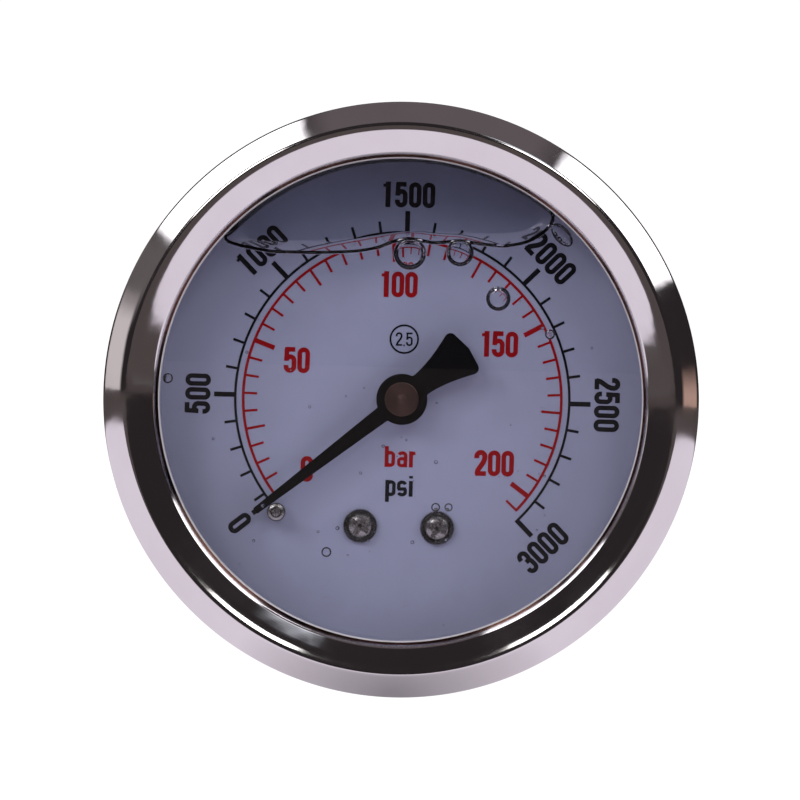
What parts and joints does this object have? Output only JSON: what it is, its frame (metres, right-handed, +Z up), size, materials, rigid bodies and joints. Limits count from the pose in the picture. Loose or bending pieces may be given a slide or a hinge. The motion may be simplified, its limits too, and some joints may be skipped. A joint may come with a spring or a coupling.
{
  "type": "pressure gauge",
  "caption": "Round liquid-filled dial pressure gauge with a steel case, a rolled bezel, a dual scale and a threaded stem at the back.",
  "frame": {"origin": "centre of the bounding box, on the pointer's axis, midway between the bezel's crown and the stem's end", "axes": "+Z up, +X to the right seen from the front, the dial faces -Y and the stem points along +Y"},
  "size_m": [0.0684, 0.054, 0.0684],
  "materials": {
    "satin_steel": "satin",
    "polished_steel": "mirror polished",
    "clear_window": "clear",
    "black_rubber": "matt",
    "brass": "machined",
    "bronze": "drawn",
    "screw_steel": "machined",
    "dial_white": "satin",
    "pointer_black": "semi-matt"
  },
  "bodies": {
    "case_body": {"case": "satin_steel", "bezel_ring": "polished_steel", "window": "clear_window", "window_gasket": "black_rubber", "socket": "brass", "stem_seal": "black_rubber", "restrictor_screw": "brass", "case_screw_1": "screw_steel", "case_screw_2": "screw_steel", "case_screw_3": "screw_steel", "bourdon_tube": "bronze", "front_plate": "brass", "back_plate": "brass", "pillar_left": "brass", "pillar_right": "brass", "plate_screw_left": "screw_steel", "plate_screw_right": "screw_steel", "movement_screw_lower": "screw_steel", "movement_screw_upper": "screw_steel", "hairspring": "bronze", "hairspring_stud": "brass", "dial": "dial_white", "dial_post_left": "brass", "dial_post_right": "brass", "dial_screw_left": "screw_steel", "dial_screw_right": "screw_steel", "stop_pin": "brass"},
    "fill_plug": {"fill_plug": "black_rubber"},
    "pointer": {"pointer": "pointer_black", "pointer_bush": "bronze", "pinion_arbor": "screw_steel", "hairspring_collet": "brass"},
    "sector": {"sector_gear": "brass", "link_pin": "screw_steel"},
    "tube_tip": {"tube_tip": "brass", "tip_pin": "screw_steel"},
    "link": {"tip_link": "screw_steel"}
  },
  "joints": [
    {"name": "pointer_spin", "type": "hinge", "parent": "case_body", "child": "pointer", "pos_m": [0, -0.017, 0], "axis": [0, 1, 0], "range_deg": [0, 264], "deforming": ["hairspring"]},
    {"name": "sector_swing", "type": "hinge", "parent": "case_body", "child": "sector", "pos_m": [0.00922, -0.0083, -0.00645], "axis": [0, 1, 0], "range_deg": [-33.01, 0]},
    {"name": "tip_travel", "type": "hinge", "parent": "case_body", "child": "tube_tip", "pos_m": [-0.00132, -0.0083, 0.0022], "axis": [0, 1, 0], "range_deg": [-7.8, 0], "deforming": ["bourdon_tube"]},
    {"name": "link_swing", "type": "hinge", "parent": "tube_tip", "child": "link", "pos_m": [0.01529, -0.0095, -0.00534], "axis": [0, 1, 0], "range_deg": [0, 2]},
    {"name": "plug_pull", "type": "slide", "parent": "case_body", "child": "fill_plug", "axis": [0, 0, 1], "range_m": [0, 0.008]}
  ],
  "couplings": [
    {"joint": "sector_swing", "follows": "pointer_spin", "ratio": -0.125},
    {"joint": "tip_travel", "follows": "pointer_spin", "ratio": -0.02932},
    {"joint": "link_swing", "follows": "pointer_spin", "ratio": 0.00722}
  ]
}
